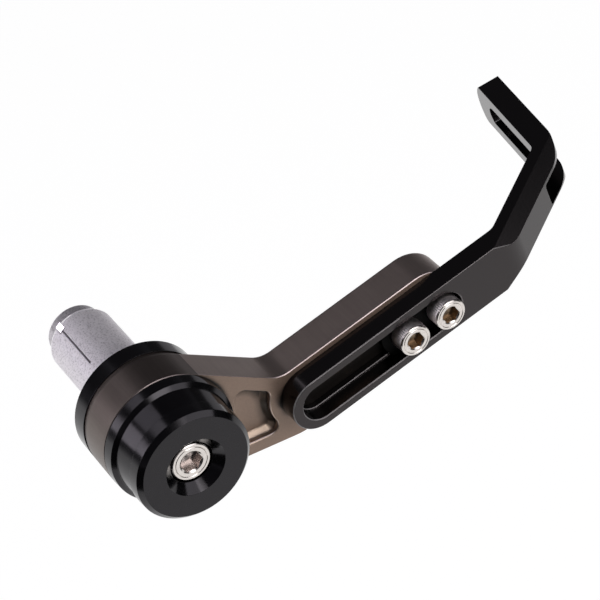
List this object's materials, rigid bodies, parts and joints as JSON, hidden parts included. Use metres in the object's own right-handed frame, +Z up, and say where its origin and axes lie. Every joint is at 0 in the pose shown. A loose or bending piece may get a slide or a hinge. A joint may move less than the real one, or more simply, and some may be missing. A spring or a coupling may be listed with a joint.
{
  "type": "brake lever guard",
  "caption": "Adjustable brake lever guard: an expanding plug for the handlebar's end, a turning milled arm, a bar end weight and a slotted blade that slides and hooks round the lever's tip.",
  "frame": {"origin": "on the handlebar's axis, in the plane of the bar's end face, where the plug meets the spacer", "axes": "+X outboard along the bar, +Y forward along the slotted leg of the arm, +Z up"},
  "size_m": [0.0644, 0.1418, 0.0415],
  "materials": {
    "cast_aluminium": "bare, fine mottle",
    "raw_aluminium": "bare, mottled",
    "gloss_black": "gloss black",
    "bronze_anodised": "satin bronze anodised",
    "stainless": "turned, satin",
    "black_anodised": "satin black anodised"
  },
  "bodies": {
    "plug": {"expander_sleeve": "cast_aluminium", "inner_spacer": "gloss_black", "bar_end_weight": "gloss_black"},
    "arm": {"mounting_arm": "bronze_anodised", "clamp_plate": "black_anodised", "blade_screws": "stainless"},
    "blade": {"guard_blade": "black_anodised"},
    "bolt": {"centre_bolt": "stainless"},
    "cone": {"expander_cone": "raw_aluminium"}
  },
  "joints": [
    {"name": "arm_swivel", "type": "hinge", "parent": "plug", "child": "arm", "pos_m": [0, 0, 0], "axis": [1, 0, 0], "continuous": true},
    {"name": "blade_slide", "type": "slide", "parent": "arm", "child": "blade", "axis": [0, 1, 0], "range_m": [0, 0.022]},
    {"name": "cone_draw", "type": "slide", "parent": "plug", "child": "cone", "axis": [-1, 0, 0], "range_m": [-0.0005, 0.002]},
    {"name": "bolt_turn", "type": "hinge", "parent": "plug", "child": "bolt", "pos_m": [0, 0, 0], "axis": [1, 0, 0], "range_deg": [-181, 722]}
  ],
  "couplings": [
    {"joint": "bolt_turn", "follows": "cone_draw", "rad_per_m": 6283.2}
  ]
}
